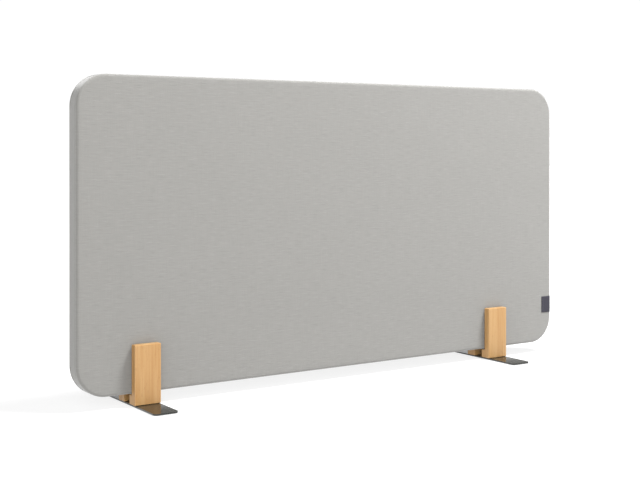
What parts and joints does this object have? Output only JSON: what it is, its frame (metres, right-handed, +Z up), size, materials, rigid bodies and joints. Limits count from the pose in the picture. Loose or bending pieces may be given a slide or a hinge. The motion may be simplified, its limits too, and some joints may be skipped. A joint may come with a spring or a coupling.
{
  "type": "desk privacy panel",
  "caption": "Fabric-covered acoustic desk screen with rounded corners, standing on slip-on wooden clamp feet with flat steel base plates.",
  "frame": {"origin": "on the desk, under the middle of the screen (bottom centre of the bounding box)", "axes": "+X along the screen to the right as seen from the front, -Y towards the front, +Z up"},
  "size_m": [1.2009, 0.232, 0.6245],
  "materials": {
    "cover_fabric": "light grey woven wool-blend cloth",
    "wadding": "white polyester wadding",
    "core_felt": "pressed fibre felt board",
    "frame_wood": "planed pine",
    "dowel_wood": "turned beech",
    "label_cloth": "dark woven label cloth, plain",
    "foot_wood": "oiled beech, lightly rounded edges",
    "foot_steel": "black powder coat",
    "slot_felt": "dark grey self-adhesive felt",
    "screw_steel": "zinc-plated steel",
    "pad_rubber": "matt black rubber"
  },
  "bodies": {
    "screen": {"front_cover": "cover_fabric", "back_cover": "cover_fabric", "edge_band": "cover_fabric", "front_wadding": "wadding", "back_wadding": "wadding", "acoustic_core": "core_felt", "top_rail": "frame_wood", "bottom_rail": "frame_wood", "left_stile": "frame_wood", "right_stile": "frame_wood", "top_left_block": "frame_wood", "top_right_block": "frame_wood", "bottom_left_block": "frame_wood", "bottom_right_block": "frame_wood", "frame_dowel_1": "dowel_wood", "frame_dowel_2": "dowel_wood", "frame_dowel_3": "dowel_wood", "frame_dowel_4": "dowel_wood", "frame_dowel_5": "dowel_wood", "frame_dowel_6": "dowel_wood", "frame_dowel_7": "dowel_wood", "frame_dowel_8": "dowel_wood", "side_label": "label_cloth"},
    "left_foot": {"left_front_post": "foot_wood", "left_rear_post": "foot_wood", "left_base_plate": "foot_steel", "left_front_felt": "slot_felt", "left_rear_felt": "slot_felt", "left_front_seat_felt": "slot_felt", "left_rear_seat_felt": "slot_felt", "left_screw_1": "screw_steel", "left_screw_2": "screw_steel", "left_screw_3": "screw_steel", "left_screw_4": "screw_steel", "left_front_pad": "pad_rubber", "left_rear_pad": "pad_rubber"},
    "right_foot": {"right_front_post": "foot_wood", "right_rear_post": "foot_wood", "right_base_plate": "foot_steel", "right_front_felt": "slot_felt", "right_rear_felt": "slot_felt", "right_front_seat_felt": "slot_felt", "right_rear_seat_felt": "slot_felt", "right_screw_1": "screw_steel", "right_screw_2": "screw_steel", "right_screw_3": "screw_steel", "right_screw_4": "screw_steel", "right_front_pad": "pad_rubber", "right_rear_pad": "pad_rubber"}
  },
  "joints": [
    {"name": "left_foot_slide", "type": "slide", "parent": "screen", "child": "left_foot", "axis": [1, 0, 0], "range_m": [-0.04, 0.415]},
    {"name": "right_foot_slide", "type": "slide", "parent": "screen", "child": "right_foot", "axis": [1, 0, 0], "range_m": [-0.365, 0.09]}
  ]
}
